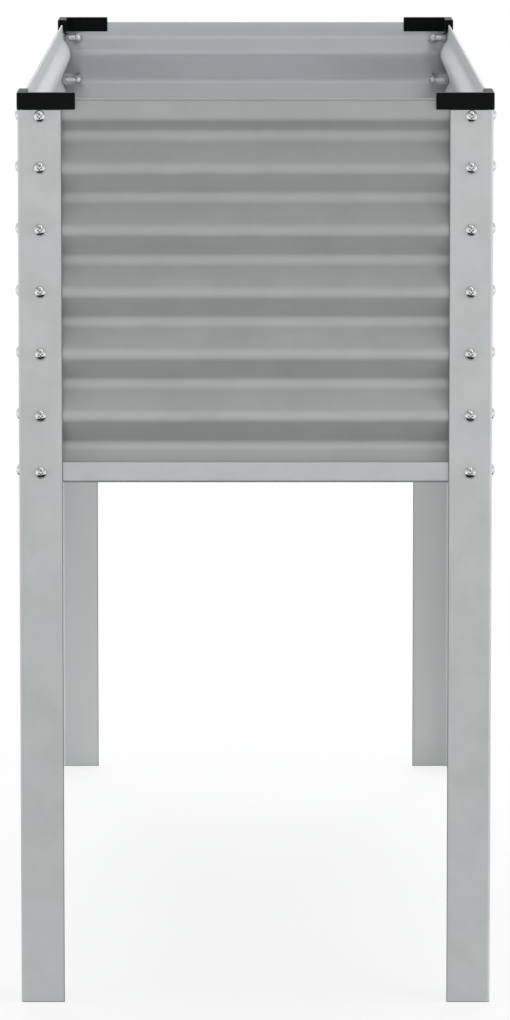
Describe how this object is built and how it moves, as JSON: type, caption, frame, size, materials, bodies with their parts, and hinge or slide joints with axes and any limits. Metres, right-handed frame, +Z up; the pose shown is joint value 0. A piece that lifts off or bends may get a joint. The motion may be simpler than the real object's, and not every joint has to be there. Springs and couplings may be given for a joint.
{
  "type": "raised planter on legs",
  "caption": "Raised garden bed: a tray of corrugated steel panels bolted between four tall angle legs, with rails and a floor below and plastic caps on the corners.",
  "frame": {"origin": "on the ground, under the middle of the planter", "axes": "+Z up; +Y along the long side, towards the rear end; +X to the right when looking along +Y at the front end"},
  "size_m": [0.4052, 1.0054, 0.7764],
  "materials": {
    "leg_steel": "galvanised, soft spangle",
    "panel_steel": "galvanised, satin, rolled waves",
    "rail_steel": "galvanised, soft spangle",
    "floor_steel": "galvanised, satin",
    "cap_plastic": "black, semi-gloss",
    "bolt_zinc": "bright zinc plate"
  },
  "bodies": {
    "root": {"leg_front_left": "leg_steel", "leg_front_right": "leg_steel", "leg_rear_right": "leg_steel", "leg_rear_left": "leg_steel", "end_panel_front": "panel_steel", "end_panel_rear": "panel_steel", "side_panel_left": "panel_steel", "side_panel_right": "panel_steel", "end_rail_front": "rail_steel", "end_rail_rear": "rail_steel", "side_rail_left": "rail_steel", "side_rail_right": "rail_steel", "cross_bar": "rail_steel", "floor_sheet_front": "floor_steel", "floor_sheet_rear": "floor_steel", "corner_cap_front_left": "cap_plastic", "corner_cap_front_right": "cap_plastic", "corner_cap_rear_right": "cap_plastic", "corner_cap_rear_left": "cap_plastic", "end_bolt_front_left_1": "bolt_zinc", "end_bolt_front_left_2": "bolt_zinc", "end_bolt_front_left_3": "bolt_zinc", "end_bolt_front_left_4": "bolt_zinc", "end_bolt_front_left_5": "bolt_zinc", "end_bolt_front_left_6": "bolt_zinc", "end_bolt_front_left_7": "bolt_zinc", "side_bolt_front_left_1": "bolt_zinc", "side_bolt_front_left_4": "bolt_zinc", "side_bolt_front_left_7": "bolt_zinc", "end_bolt_front_right_1": "bolt_zinc", "end_bolt_front_right_2": "bolt_zinc", "end_bolt_front_right_3": "bolt_zinc", "end_bolt_front_right_4": "bolt_zinc", "end_bolt_front_right_5": "bolt_zinc", "end_bolt_front_right_6": "bolt_zinc", "end_bolt_front_right_7": "bolt_zinc", "side_bolt_front_right_1": "bolt_zinc", "side_bolt_front_right_4": "bolt_zinc", "side_bolt_front_right_7": "bolt_zinc", "end_bolt_rear_right_1": "bolt_zinc", "end_bolt_rear_right_2": "bolt_zinc", "end_bolt_rear_right_3": "bolt_zinc", "end_bolt_rear_right_4": "bolt_zinc", "end_bolt_rear_right_5": "bolt_zinc", "end_bolt_rear_right_6": "bolt_zinc", "end_bolt_rear_right_7": "bolt_zinc", "side_bolt_rear_right_1": "bolt_zinc", "side_bolt_rear_right_4": "bolt_zinc", "side_bolt_rear_right_7": "bolt_zinc", "end_bolt_rear_left_1": "bolt_zinc", "end_bolt_rear_left_2": "bolt_zinc", "end_bolt_rear_left_3": "bolt_zinc", "end_bolt_rear_left_4": "bolt_zinc", "end_bolt_rear_left_5": "bolt_zinc", "end_bolt_rear_left_6": "bolt_zinc", "end_bolt_rear_left_7": "bolt_zinc", "side_bolt_rear_left_1": "bolt_zinc", "side_bolt_rear_left_4": "bolt_zinc", "side_bolt_rear_left_7": "bolt_zinc"}
  },
  "joints": []
}
